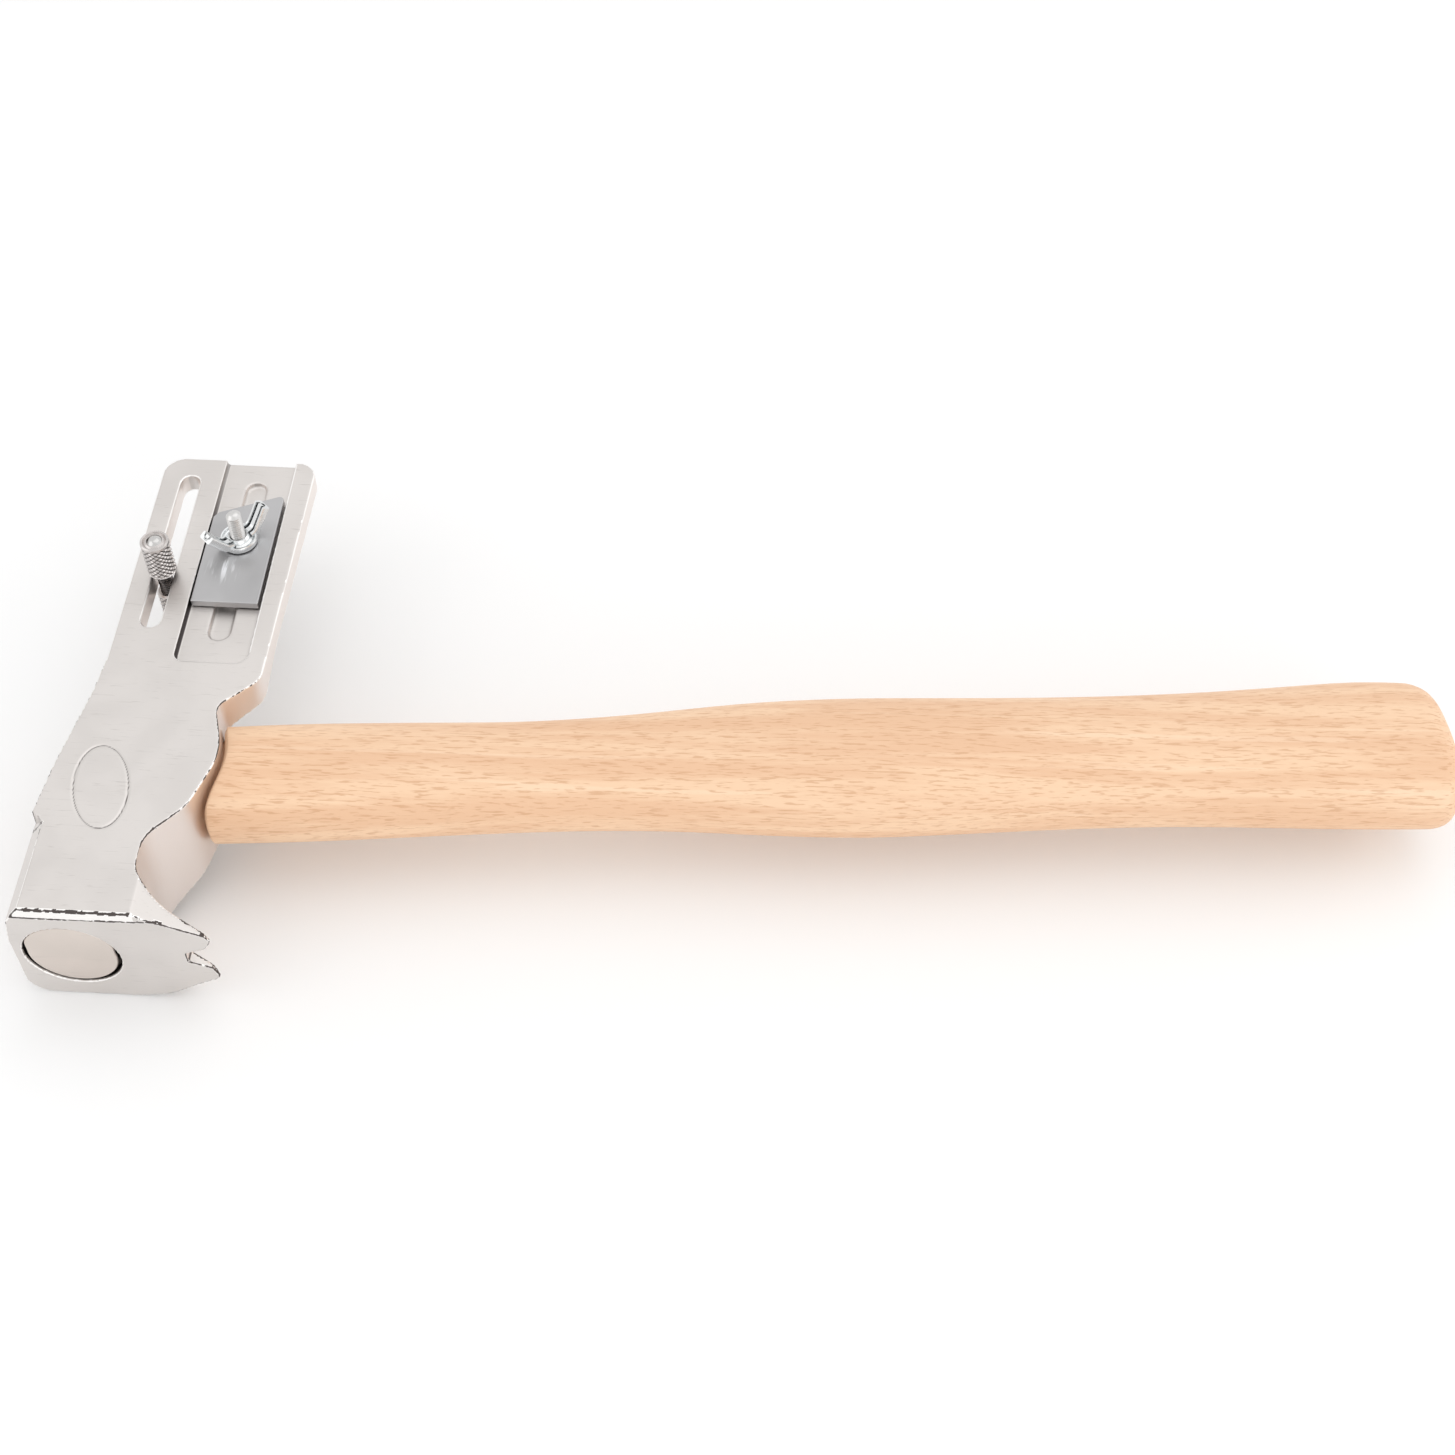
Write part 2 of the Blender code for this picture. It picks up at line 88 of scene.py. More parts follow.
def mixColour(tree, factor, first, second):
    node = add(tree, "Mix", {"Factor": factor}, data_type="RGBA")
    for index, value in ((6, first), (7, second)):         # 6 and 7 are the colour sockets
        if isinstance(value, bpy.types.NodeSocket):
            tree.links.new(value, node.inputs[index])
        else:
            node.inputs[index].default_value = (*value, 1.0)
    return node.outputs[2]


def step(tree, value, low, high):        # 0 at low, 1 at high, smooth between them
    limits = {"Value": value, "From Min": low, "From Max": high}
    return add(tree, "MapRange", limits, interpolation_type="SMOOTHSTEP").outputs[0]


def newGroup(name, inputs, outputs):
    group = bpy.data.node_groups.new(name, "ShaderNodeTree")
    for label, kind, value in inputs:
        socket = group.interface.new_socket(label, in_out="INPUT", socket_type="NodeSocket" + kind)
        socket.default_value = value
    for label, kind in outputs:
        group.interface.new_socket(label, in_out="OUTPUT", socket_type="NodeSocket" + kind)
    return group, group.nodes.new("NodeGroupInput").outputs, group.nodes.new("NodeGroupOutput").inputs


def useGroup(tree, group, values):
    node = tree.nodes.new("ShaderNodeGroup")
    node.node_tree = group
    for name, value in values.items():
        if isinstance(value, bpy.types.NodeSocket):
            tree.links.new(value, node.inputs[name])
        else:
            node.inputs[name].default_value = value
    return node.outputs


def newMaterial(name, **settings):
    material = bpy.data.materials.new(name)
    material.use_nodes = True
    tree = material.node_tree
    shader = tree.nodes["Principled BSDF"]
    for label, value in settings.items():
        shader.inputs[label.replace("_", " ")].default_value = value
    return material, tree, shader


def objectCoords(tree, scale=(1, 1, 1), turn=(0, 0, 0)):
    coords = add(tree, "TexCoord").outputs["Object"]
    return add(tree, "Mapping", {"Vector": coords, "Scale": scale, "Rotation": turn}).outputs[0]


def noiseOf(tree, vector, scale, detail=3.0, roughness=0.5, distortion=0.0):
    node = add(tree, "TexNoise", {"Vector": vector, "Scale": scale, "Detail": detail,
                                  "Roughness": roughness, "Distortion": distortion})
    return node.outputs["Fac"]


def addBump(tree, shader, height, strength, distance):
    bump = add(tree, "Bump", {"Height": height, "Strength": strength, "Distance": distance})
    tree.links.new(bump.outputs[0], shader.inputs["Normal"])


# Beech: soft bands, fine fibres and short dark flecks, all running along X
grainLook = {
    "bands": {"stretch": (0.05, 1.0, 1.0), "turn": 3.5, "scale": 190, "noise": (2.0, 0.45, 0.4),
              "range": (0.34, 0.66)},
    "fibres": {"stretch": (0.06, 1.0, 1.0), "turn": 0.0, "scale": 1500, "noise": (4.0, 0.65, 0.3),
               "range": None},
    "flecks": {"stretch": (0.10, 1.0, 1.0), "turn": 1.5, "scale": 2100, "noise": (2.0, 0.5, 0.25),
               "range": (0.53, 0.66)},
    "streaks": {"stretch": (0.022, 1.0, 0.6), "turn": 5.0, "scale": 420, "noise": (2.0, 0.5, 0.2),
                "range": (0.60, 0.70)},
    "bandShare": 0.45, "toneRange": (0.25, 0.75), "streakTint": (1.0, 0.80, 0.60), "streakShare": 0.22,
    "pore": 0.8}


def grainNoise(group, vector, look):        # noise drawn out along the grain
    drawn = add(group, "Mapping", {
        "Vector": vector, "Scale": look["stretch"], "Rotation": (0, 0, math.radians(look["turn"]))})
    found = noiseOf(group, drawn.outputs[0], look["scale"], *look["noise"])
    return step(group, found, *look["range"]) if look["range"] else found


def makeWoodGrain():
    look = grainLook
    group, given, made = newGroup(
        "woodGrain",
        [("Vector", "Vector", (0, 0, 0)), ("Light", "Color", (1, 1, 1, 1)), ("Dark", "Color", (0, 0, 0, 1)),
         ("Fleck", "Color", (0, 0, 0, 1)), ("Fleck Amount", "Float", 0.5)],
        [("Color", "Color"), ("Height", "Float")])
    bands, fibres, flecks, streaks = [
        grainNoise(group, given["Vector"], look[kind]) for kind in ("bands", "fibres", "flecks", "streaks")]
    bandPart = mathNode(group, "MULTIPLY", bands, look["bandShare"])
    tone = mathNode(group, "MULTIPLY_ADD", fibres, 1 - look["bandShare"], bandPart)
    colour = mixColour(group, step(group, tone, *look["toneRange"]), given["Dark"], given["Light"])
    streakShare = mathNode(group, "MULTIPLY", streaks, look["streakShare"])
    colour = mixColour(group, streakShare, colour, look["streakTint"])
    fleckShare = mathNode(group, "MULTIPLY", flecks, given["Fleck Amount"])
    colour = mixColour(group, fleckShare, colour, given["Fleck"])
    group.links.new(colour, made["Color"])
    height = mathNode(group, "SUBTRACT", fibres, mathNode(group, "MULTIPLY", flecks, look["pore"]))
    group.links.new(height, made["Height"])
    return group


# Cast and ground metal: slow tone changes, fine pits and stray scratches
metalLook = {
    "mottleScale": 55, "mottleRange": (0.35, 0.65), "pitScale": 2600, "scratchRange": (0.665, 0.72),
    "scratches": ((0.35, (0.07, 1.0, 1.0), 900), (-0.9, (0.05, 1.0, 1.0), 700),
                  (1.5, (0.10, 1.0, 1.0), 1100)),
    "scratchDepth": 0.6, "bumpDistance": 0.05}      # scratches: turn, stretch, scale


def makeMetalSurface():
    look = metalLook
    group, given, made = newGroup(
        "metalSurface",
        [("Vector", "Vector", (0, 0, 0)), ("Tint A", "Color", (1, 1, 1, 1)),
         ("Tint B", "Color", (1, 1, 1, 1)), ("Scratch Tint", "Color", (1, 1, 1, 1)),
         ("Scratches", "Float", 0.3), ("Rough Low", "Float", 0.3), ("Rough High", "Float", 0.45)],
        [("Color", "Color"), ("Roughness", "Float"), ("Height", "Float")])
    vector = given["Vector"]
    mottle = step(group, noiseOf(group, vector, look["mottleScale"], 3.0, 0.5, 0.3), *look["mottleRange"])
    pits = noiseOf(group, vector, look["pitScale"], 3.0, 0.6)
    marks = 0.0
    for turn, stretch, scale in look["scratches"]:
        lines = add(group, "Mapping", {"Vector": vector, "Rotation": (0, 0, turn), "Scale": stretch})
        found = step(group, noiseOf(group, lines.outputs[0], scale, 2.0, 0.5), *look["scratchRange"])
        marks = mathNode(group, "MAXIMUM", marks, found)
    colour = mixColour(group, mottle, given["Tint A"], given["Tint B"])
    scratch = mathNode(group, "MULTIPLY", marks, given["Scratches"])
    group.links.new(mixColour(group, scratch, colour, given["Scratch Tint"]), made["Color"])
    blend = mathNode(group, "MULTIPLY", mathNode(group, "ADD", mottle, pits), 0.5)
    span = mathNode(group, "SUBTRACT", given["Rough High"], given["Rough Low"])
    group.links.new(mathNode(group, "MULTIPLY_ADD", blend, span, given["Rough Low"]), made["Roughness"])
    depth = mathNode(group, "MULTIPLY", marks, look["scratchDepth"])
    group.links.new(mathNode(group, "SUBTRACT", pits, depth), made["Height"])
    return group


woodGrain = makeWoodGrain()
metalSurface = makeMetalSurface()


# A metal finish. valley = (start, colour) paints shade, darkening towards colour where the mesh's valley
# attribute is high.
def metalMaterial(name, tints, scratchTint, scratches, rough, bump, valley=None):
    material, tree, shader = newMaterial(name, Metallic=1.0)
    made = useGroup(tree, metalSurface, {
        "Vector": objectCoords(tree), "Tint A": (*tints[0], 1.0), "Tint B": (*tints[1], 1.0),
        "Scratch Tint": (*scratchTint, 1.0), "Scratches": scratches,
        "Rough Low": rough[0], "Rough High": rough[1]})
    colour = made["Color"]
    if valley:
        deep = add(tree, "Attribute", attribute_name="valley").outputs["Fac"]
        colour = mixColour(tree, step(tree, deep, valley[0], 1.0), colour, valley[1])
    tree.links.new(colour, shader.inputs["Base Color"])
    tree.links.new(made["Roughness"], shader.inputs["Roughness"])
    addBump(tree, shader, made["Height"], bump, metalLook["bumpDistance"] * mm)
    return material, tree, shader, colour


# Tools that every piece uses
mergeDistance = 1e-6


def finishPiece(name, shape, material, body, node, sharpAngle=35, levels=0):
    bmesh.ops.recalc_face_normals(shape, faces=shape.faces)
    mesh = bpy.data.meshes.new(name)
    shape.to_mesh(mesh)
    shape.free()
    mesh.materials.append(material)
    mesh.shade_smooth()
    mesh.set_sharp_from_angle(angle=math.radians(sharpAngle))
    piece = bpy.data.objects.new(name, mesh)
    scene.collection.objects.link(piece)
    if levels:
        smooth = piece.modifiers.new("smooth", "SUBSURF")
        smooth.levels = levels
        smooth.render_levels = levels
    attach(piece, body)
    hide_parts(node)
    print("made", name, sum(len(face.vertices) - 2 for face in mesh.polygons), "triangles")
    return piece


def mergedCopy(node):
    shape = bmesh.new()
    shape.from_mesh(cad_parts[node].data)
    bmesh.ops.remove_doubles(shape, verts=shape.verts, dist=mergeDistance)
    bmesh.ops.dissolve_limit(shape, verts=shape.verts, edges=shape.edges, angle_limit=math.radians(0.5))
    return shape


def bevelEdges(shape, edges, width, segments):
    bmesh.ops.bevel(shape, geom=edges, offset=width, affect="EDGES", segments=segments, profile=0.5,
                    material=-1)


def bevelSharp(shape, width, limit=40):
    bend = math.radians(limit)
    edges = [edge for edge in shape.edges if edge.is_manifold and edge.calc_face_angle(0) > bend]
    bevelEdges(shape, edges, width, 2)


# Spins (radius, height) pairs about an axis through centre; out is where the profile starts.
def spinProfile(shape, profile, centre, axis, out, steps):
    points = [shape.verts.new(centre + out * radius * mm + axis * height * mm) for radius, height in profile]
    edges = [shape.edges.new(pair) for pair in zip(points, points[1:] + points[:1])]
    bmesh.ops.spin(shape, geom=points + edges, cent=centre, axis=axis, angle=fullTurn, steps=steps,
                   use_merge=True)
    bmesh.ops.remove_doubles(shape, verts=shape.verts, dist=mergeDistance)


# Head, in mm
headLook = {
    "voxel": 0.34, "rounding": 3, "crease": 14.0, "margin": 3, "flat": 0.25, "tile": 3.0,
    "ovalCentre": (2.6, 36.5), "ovalHalf": (6.6, 12.5), "ovalTurn": 14.0, "ovalWidth": 0.34,
    "ovalDepth": 0.26,
    "facetX": 17.8, "facetTip": (34.0, 11.5), "bevel": (2.75, 3.2), "bevelLength": 26, "line": 0.5,
    "lineBand": 0.3, "faceDepth": (1.2, 0.9),
    "runOut": (-8.9, 25.2, 0.86), "runOutSlope": 1.39, "runOutFoot": 13.8, "runOutFrom": 20,
    "machined": 22, "milledRim": 2, "bottom": 8, "nick": (-6, 20, 29), "claw": (20, 3), "arc": (10, 4, 64),
    "burr": 0.15, "machinedBurr": 0.25, "burrScales": (1100, 2300), "patchScale": 90,
    "gapDepth": (0.7, 8), "gapReach": 0.5, "seatWall": (0.65, 19), "seatWallFade": (12, 14, 0.35)}
# How dark each kind of edge is
edgeTones = {"milled": -0.35, "machined": 0.15, "bottom": 0.3, "plain": 0.55, "nick": 0.85,
             "arc": (0.82, 0.6, 70), "topLine": 0.97, "lowLine": 0.8}


def evenSkin(node, voxel, rounding):        # a closed copy with small even faces and rounded edges
    shape = bmesh.new()
    shape.from_mesh(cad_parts[node].data)
    bmesh.ops.remove_doubles(shape, verts=shape.verts, dist=mergeDistance)
    mesh = bpy.data.meshes.new(node + "Blank")
    shape.to_mesh(mesh)
    shape.free()
    blank = bpy.data.objects.new(node + "Blank", mesh)
    scene.collection.objects.link(blank)
    remesh = blank.modifiers.new("evenSkin", "REMESH")
    remesh.mode = "VOXEL"
    remesh.voxel_size = voxel * mm
    soften = blank.modifiers.new("roundEdges", "SMOOTH")
    soften.factor = 0.5
    soften.iterations = rounding
    bpy.context.view_layer.update()
    skin = bpy.data.meshes.new_from_object(blank.evaluated_get(bpy.context.evaluated_depsgraph_get()))
    shape = bmesh.new()
    shape.from_mesh(skin)
    bpy.data.objects.remove(blank, do_unlink=True)
    print("skin of", node, len(shape.faces), "faces")
    return shape


def slantRunOut(shape, top):        # the side bevel of the face runs out on a slant
    look = headLook
    inner, start, slant = look["runOut"]
    for vert in shape.verts:
        out = inner - vert.co.x / mm
        slanted = out > 0 and look["runOutFrom"] < vert.co.y / mm < start + slant * out
        if slanted and vert.co.z > look["runOutFoot"] * mm:
            vert.co.z = min(vert.co.z, top - out * look["runOutSlope"] * mm)


def markEdges(shape, highlightShade):        # gives each edge the sharpest bend beside it, and returns its verts
    crease = math.radians(headLook["crease"])
    for edge in shape.edges:
        bend = edge.calc_face_angle_signed(0)
        if abs(bend) > crease:
            for vert in edge.verts:
                if abs(bend) > abs(vert[highlightShade]):
                    vert[highlightShade] = bend
    return [vert for vert in shape.verts if vert[highlightShade]]


# Proud edges get a painted highlight; corners and milled seat edges get painted shade
def toneEdges(edgeToned, highlightShade, dark, top):
    look, tones = headLook, edgeTones
    seatLow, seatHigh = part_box("blade")
    machinedFrom = seatLow.y - look["machined"] * mm
    rim = look["milledRim"] * mm
    nickX, nickLow, nickHigh = look["nick"]
    clawX, clawY = look["claw"]
    arcX, arcLow, arcHigh = look["arc"]
    arcTone, arcSwing, arcScale = tones["arc"]
    for vert in edgeToned:
        x, y, z = vert.co
        machined = y > machinedFrom
        milled = machined and seatLow.x - rim < x < seatHigh.x + rim
        if milled and z < top - 1 * mm:
            vert[highlightShade] = tones["milled"]
        else:
            vert[highlightShade] = 1.0 if vert[highlightShade] > 0 else -1.0
        if (x < nickX * mm and nickLow * mm < y < nickHigh * mm) or (x > clawX * mm and y < clawY * mm):
            vert[dark] = tones["nick"]
        elif z > top - 1 * mm and x > arcX * mm and arcLow * mm < y < arcHigh * mm:
            vert[dark] = arcTone + arcSwing * noise.noise(vert.co * arcScale)
        elif machined:
            vert[dark] = tones["machined"]
        else:
            vert[dark] = tones["bottom" if z < top - look["bottom"] * mm else "plain"]


def markFaceLines(shape, highlightShade, dark, top):        # two lines on the face, with a painted highlight strip between them
    look, tones = headLook, edgeTones
    inner = look["runOut"][0]
    upperFoot, lowerFoot = look["bevel"]
    band = look["lineBand"]
    maxDepth, lineDepth = look["faceDepth"]
    for vert in shape.verts:
        if vert.co.y > maxDepth * mm:
            continue
        drop = (top - vert.co.z) / mm
        along = vert.co.x / mm - look["facetX"]
        share = max(0.0, along / (look["facetTip"][0] - look["facetX"]))
        ridge = share * (top / mm - look["facetTip"][1])
        fromSide = min(1.0, max(0.0, (along + look["bevelLength"]) / look["bevelLength"]))
        foot = lowerFoot - (lowerFoot - upperFoot) * fromSide
        foot = foot * (1 - share) + ridge * min(share, 1.0)
        depth = vert.co.y / mm
        sideDrop = max(0.0, inner - vert.co.x / mm) * look["runOutSlope"]
        width = look["line"] * (1 + 0.8 * noise.noise(vert.co * 700))
        upper = math.hypot(max(0.0, drop - sideDrop - 0.1), depth - 0.3)
        low = abs(drop - foot) < band
        strip = along < 0.5 and sideDrop - 0.5 < drop < foot
        if share <= 1.0 and depth < lineDepth and (low or strip):
            vert[highlightShade] = 1.0
            if along < 0 and upper < width:
                vert[dark] = tones["topLine"]
            else:
                vert[dark] = tones["lowLine"] if low else 0.0


def roughenEdges(edgeToned, highlightShade):        # small burrs on the proud edges
    look = headLook
    coarse, fine = look["burrScales"]
    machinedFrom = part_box("blade")[0].y - look["machined"] * mm
    for vert in edgeToned:
        if vert[highlightShade] < 0:
            continue
        size = look["burr"] * (look["machinedBurr"] if vert.co.y > machinedFrom else 1.0)
        patch = min(1.0, max(0.15, 0.6 + noise.noise(vert.co * look["patchScale"]) * 1.6))
        rough = noise.noise(vert.co * coarse) + 0.6 * noise.noise(vert.co * fine)
        vert.co += vert.normal * rough * size * patch * mm


def ovalGap(point):        # distance in mm from the engraved oval line on the flat side
    look = headLook
    turn = math.radians(look["ovalTurn"])
    across = point.x / mm - look["ovalCentre"][0]
    along = point.y / mm - look["ovalCentre"][1]
    first = across * math.cos(turn) + along * math.sin(turn)
    second = along * math.cos(turn) - across * math.sin(turn)
    halfAcross, halfAlong = look["ovalHalf"]
    reach = math.hypot(first / halfAcross, second / halfAlong)
    return abs(reach - 1.0) * reach / math.hypot(first / halfAcross ** 2, second / halfAlong ** 2 + 1e-9)


# The engraved line is darkened with painted shade
def engraveOval(shape, highlightShade, dark, top):
    look = headLook
    for vert in shape.verts:
        if vert.co.z > top - 0.05 * mm and vert.co.y < 60 * mm:
            gap = ovalGap(vert.co)
            if gap < look["ovalWidth"] * 2:
                share = max(0.0, 1 - gap / look["ovalWidth"])
                vert.co.z -= look["ovalDepth"] * mm * share ** 0.7
                vert[highlightShade] = -share if share > 0.3 else 0.001
                vert[dark] = share


# Painted shade in the gap round the striking face insert
def darkenInsertGap(shape, highlightShade, dark):
    near, far = headLook["gapDepth"]
    disc = centreOf("striking_face_insert")
    holeRadius = (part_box("striking_face_insert")[1].x - disc.x) / mm + 0.3
    for vert in shape.verts:
        reach = math.hypot(vert.co.x - disc.x, vert.co.z - disc.z) / mm
        if near * mm < vert.co.y < far * mm and abs(reach - holeRadius) < headLook["gapReach"]:
            vert[highlightShade], vert[dark] = -1.0, 1.0


def thinFlats(shape, highlightShade):        # large faces where nothing bends, kept in tiles
    look = headLook
    kept = {vert for vert in shape.verts if vert[highlightShade]}
    edgeOf = kept
    for _ in range(look["margin"]):
        edgeOf = {near for vert in edgeOf for face in vert.link_faces for near in face.verts} - kept
        kept |= edgeOf
    tileOf = {face: tuple(math.floor(c / (look["tile"] * mm)) for c in face.calc_center_median())
              for face in shape.faces}
    loose = [vert for vert in shape.verts if vert not in kept]
    flatEdges = [edge for edge in shape.edges if edge.verts[0] not in kept and edge.verts[1] not in kept
                 and tileOf[edge.link_faces[0]] == tileOf[edge.link_faces[1]]]
    bmesh.ops.dissolve_limit(shape, verts=loose, edges=flatEdges, angle_limit=math.radians(look["flat"]))


def darkenSeatWall(shape, highlightShade, dark, top):        # the shaded wall beside the blade
    seatLow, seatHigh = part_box("blade")
    inset, reach = headLook["seatWall"]
    fadeFrom, fadeLength, least = headLook["seatWallFade"]
    wall = seatLow.x - inset * mm
    for vert in shape.verts:
        beside = -0.35 * mm < vert.co.x - wall < 0.55 * mm and vert.co.y > seatLow.y - reach * mm
        if beside and seatLow.z - 0.5 * mm < vert.co.z < top - 0.15 * mm:
            past = max(0.0, vert.co.y - seatHigh.y + fadeFrom * mm) / (fadeLength * mm)
            vert[dark] = max(least, 1.0 - 0.5 * past)
            vert[highlightShade] = -1.0


def makeHead():
    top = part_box("head")[1].z
    shape = evenSkin("head", headLook["voxel"], headLook["rounding"])
    highlightShade = shape.verts.layers.float.new("edgeHighlightShade")        # 1 on a proud edge, painted highlight; -1 in a corner, painted shade
    dark = shape.verts.layers.float.new("edgeDark")        # how much of the edge is dark
    wallLight = shape.verts.layers.float.new("paintedWallLight")        # 1 on the walls round the outline, made lighter as painted light
    slantRunOut(shape, top)
    edgeToned = markEdges(shape, highlightShade)
    toneEdges(edgeToned, highlightShade, dark, top)
    markFaceLines(shape, highlightShade, dark, top)
    roughenEdges(edgeToned, highlightShade)
    engraveOval(shape, highlightShade, dark, top)
    darkenInsertGap(shape, highlightShade, dark)
    thinFlats(shape, highlightShade)
    # Walls facing sideways get painted light
    for vert in shape.verts:
        if abs(vert.normal.z) < 0.35 and vert.normal.y > -0.9:
            vert[wallLight] = 1.0
    darkenSeatWall(shape, highlightShade, dark, top)
    return finishPiece("hatchetHead", shape, headMaterial(), "tool", "head", sharpAngle=60)


def headMaterial():
    material, tree, shader, colour = metalMaterial(
        "satinNickel", ((0.70, 0.665, 0.64), (0.735, 0.70, 0.675)), (0.62, 0.59, 0.57), 0.12,
        (0.34, 0.50), 0.2)
    brush = noiseOf(tree, objectCoords(tree, scale=(0.10, 1, 1)), 1700, 2.0, 0.6)
    colour = mixColour(tree, step(tree, brush, 0.60, 0.78), colour, (0.62, 0.585, 0.56))
    # Painted light: the walls round the outline are made lighter
    wallLight = add(tree, "Attribute", attribute_name="paintedWallLight").outputs["Fac"]
    colour = mixColour(tree, wallLight, colour, (0.86, 0.80, 0.765))
    edgeToned = add(tree, "Attribute", attribute_name="edgeHighlightShade").outputs["Fac"]
    dark = add(tree, "Attribute", attribute_name="edgeDark").outputs["Fac"]
    dashes = noiseOf(tree, objectCoords(tree), 650, 3.0, 0.65)
    level = mathNode(tree, "SUBTRACT", 0.82, mathNode(tree, "MULTIPLY", dark, 0.52))
    dashes = mathNode(tree, "GREATER_THAN", dashes, level)
    # Painted highlight on proud edges, with dark dashes on them; painted shade in corners, grooves and gaps
    proud = step(tree, edgeToned, 0.25, 0.75)
    corner = step(tree, mathNode(tree, "MULTIPLY", edgeToned, -1.0), 0.2, 0.9)
    colour = mixColour(tree, proud, colour, (0.97, 0.95, 0.93))
    colour = mixColour(tree, mathNode(tree, "MULTIPLY", proud, dashes), colour, (0.10, 0.085, 0.08))
    depth = mathNode(tree, "MULTIPLY", corner, mathNode(tree, "MULTIPLY_ADD", dark, 0.75, 0.25))
    colour = mixColour(tree, depth, colour, (0.08, 0.07, 0.07))
    tree.links.new(colour, shader.inputs["Base Color"])
    return material


# Striking face insert
insertLook = {"edge": 0.45, "steps": 96, "fill": 0.92}      # fill: how far the upper half closes the gap


def makeInsert():
    low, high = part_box("striking_face_insert")
    radius = (high.x - low.x) / 2 / mm
    depth = (high.y - low.y) / mm
    front = radius - 0.7
    edge = insertLook["edge"]
    profile = [(0, 0), (front * 0.4, 0), (front - edge * 1.4, 0), (front - edge * 0.4, -edge * 0.35),
               (front, -edge), (front, -0.9), (front, -2.0), (radius, -2.0), (radius, -depth), (0, -depth)]
    shape = bmesh.new()
    centre = Vector(((low.x + high.x) / 2, low.y, (low.z + high.z) / 2))
    spinProfile(shape, profile, centre, Vector((0, -1, 0)), Vector((1, 0, 0)), insertLook["steps"])
    valley = shape.verts.layers.float.new("valley")        # 1 down in the gap, where it gets painted shade
    for vert in shape.verts:
        arm = vert.co.xz - centre.xz
        vert[valley] = 1.0 if vert.co.y > low.y + 0.8 * mm else 0.0
        if vert.co.y < low.y + 1.99 * mm and arm.length > front * 0.8 * mm:
            height = arm.y / arm.length
            share = min(1.0, max(0.0, (height - 0.10) / 0.4))
            arm *= 1 + insertLook["fill"] * share * share * (3 - 2 * share) / front
            vert.co.x, vert.co.z = centre.x + arm.x, centre.z + arm.y
    material = metalMaterial(
        "groundFace", ((0.69, 0.625, 0.575), (0.73, 0.66, 0.61)), (0.6, 0.55, 0.5), 0.25, (0.38, 0.52), 0.2,
        valley=(0.3, (0.05, 0.04, 0.035)))[0]
    return finishPiece("strikingFace", shape, material, "tool", "striking_face_insert")


# Handle
handleLook = {"sides": 56, "squareness": 2.35, "tilt": math.radians(5.3), "buttTilt": math.radians(10.0),
              "stations": 24, "chamfer": 1.2, "drop": 0.09, "gap": 0.6, "shoulderLimit": 26.4,
              "tenon": (10.6, 6.1)}


# Centre height, half width and half thickness of the CAD handle at x
def measureHandle(tree, x, z):
    far = 0.2
    top = tree.ray_cast(Vector((x, far, z)), Vector((0, -1, 0)))[0]
    bottom = tree.ray_cast(Vector((x, -far, z)), Vector((0, 1, 0)))[0]
    middle = (top.y + bottom.y) / 2
    upper = tree.ray_cast(Vector((x, middle, far)), Vector((0, 0, -1)))[0]
    return middle, (top.y - bottom.y) / 2, upper.z - z


